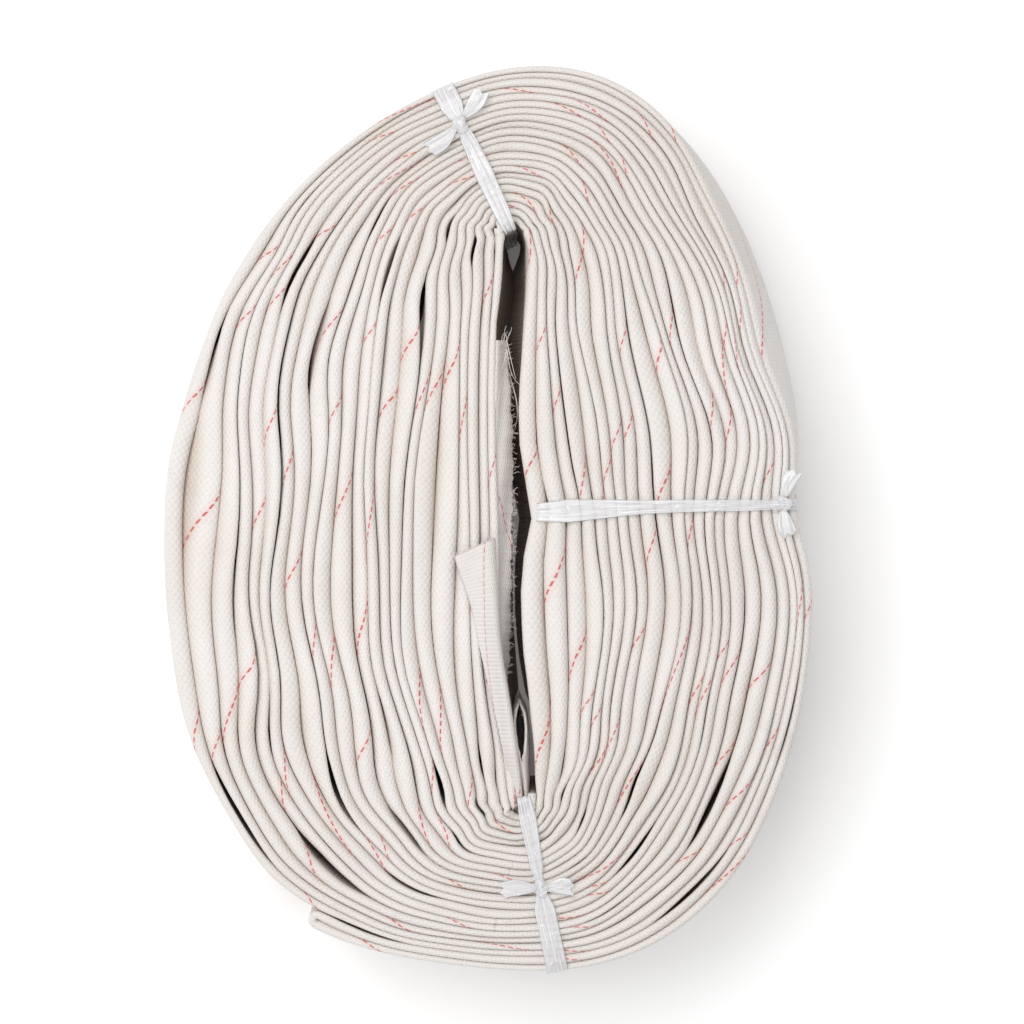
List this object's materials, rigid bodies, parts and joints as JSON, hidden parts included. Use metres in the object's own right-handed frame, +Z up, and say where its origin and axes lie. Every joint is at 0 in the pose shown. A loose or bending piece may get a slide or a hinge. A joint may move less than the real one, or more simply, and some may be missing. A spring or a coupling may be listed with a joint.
{
  "type": "rolled fire hose",
  "caption": "Flat woven fire hose laid double and rolled into an oval coil lying on its edge folds, tied with clear film ribbons, with its cut ends in the centre slot.",
  "frame": {"origin": "centre of the roll's footprint on the surface that it lies on", "axes": "+Z up along the winding axis, out of the side that shows the slot; +Y along the long side of the oval; +X to the side that has a tie of its own"},
  "size_m": [0.3062, 0.4275, 0.1096],
  "materials": {
    "jacket": "matte, plain woven, with a red tracer yarn",
    "lining": "matte, smooth",
    "film": "glossy, clear to milky, stretched"
  },
  "bodies": {
    "roll": {"inner_jacket": "jacket", "middle_jacket": "jacket", "outer_jacket": "jacket", "inner_lining": "lining", "middle_lining": "lining", "outer_lining": "lining", "top_tie": "film", "side_tie": "film", "low_tie": "film", "top_knot": "film", "side_knot": "film", "low_knot": "film"},
    "open_end": {"mouth_jacket": "jacket", "mouth_lining": "lining"},
    "folded_end": {"inner_end": "jacket", "frayed_end": "jacket"},
    "top_short_end": {"top_tail_short": "film"},
    "top_long_end": {"top_tail_long": "film"},
    "side_short_end": {"side_tail_short": "film"},
    "side_long_end": {"side_tail_long": "film"},
    "low_short_end": {"low_tail_short": "film"},
    "low_long_end": {"low_tail_long": "film"}
  },
  "joints": [
    {"name": "open_end_bend", "type": "hinge", "parent": "roll", "child": "open_end", "pos_m": [0.01967, -0.12716, 0.053], "axis": [0, 0, 1], "range_deg": [-1.5, 1.5]},
    {"name": "folded_end_bend", "type": "hinge", "parent": "roll", "child": "folded_end", "pos_m": [0.015, -0.124, 0.053], "axis": [0, 0, 1], "range_deg": [-1.2, 0]},
    {"name": "top_tail_short_lift", "type": "hinge", "parent": "roll", "child": "top_short_end", "pos_m": [-0.01153, 0.18908, 0.1071], "axis": [0.8737, -0.4865, 0], "range_deg": [0, 75]},
    {"name": "top_tail_long_lift", "type": "hinge", "parent": "roll", "child": "top_long_end", "pos_m": [-0.01675, 0.18248, 0.1071], "axis": [-0.5862, 0.8102, 0], "range_deg": [0, 75]},
    {"name": "side_tail_short_lift", "type": "hinge", "parent": "roll", "child": "side_short_end", "pos_m": [0.1388, 0.01236, 0.1071], "axis": [0.8813, -0.4726, 0], "range_deg": [0, 75]},
    {"name": "side_tail_long_lift", "type": "hinge", "parent": "roll", "child": "side_long_end", "pos_m": [0.13755, 0.00435, 0.1071], "axis": [-0.9285, -0.3713, 0], "range_deg": [0, 75]},
    {"name": "low_tail_short_lift", "type": "hinge", "parent": "roll", "child": "low_short_end", "pos_m": [0.02675, -0.17167, 0.1071], "axis": [-0.0572, -0.9984, 0], "range_deg": [0, 75]},
    {"name": "low_tail_long_lift", "type": "hinge", "parent": "roll", "child": "low_long_end", "pos_m": [0.02077, -0.17185, 0.1071], "axis": [-0.117, 0.9931, 0], "range_deg": [0, 75]}
  ]
}
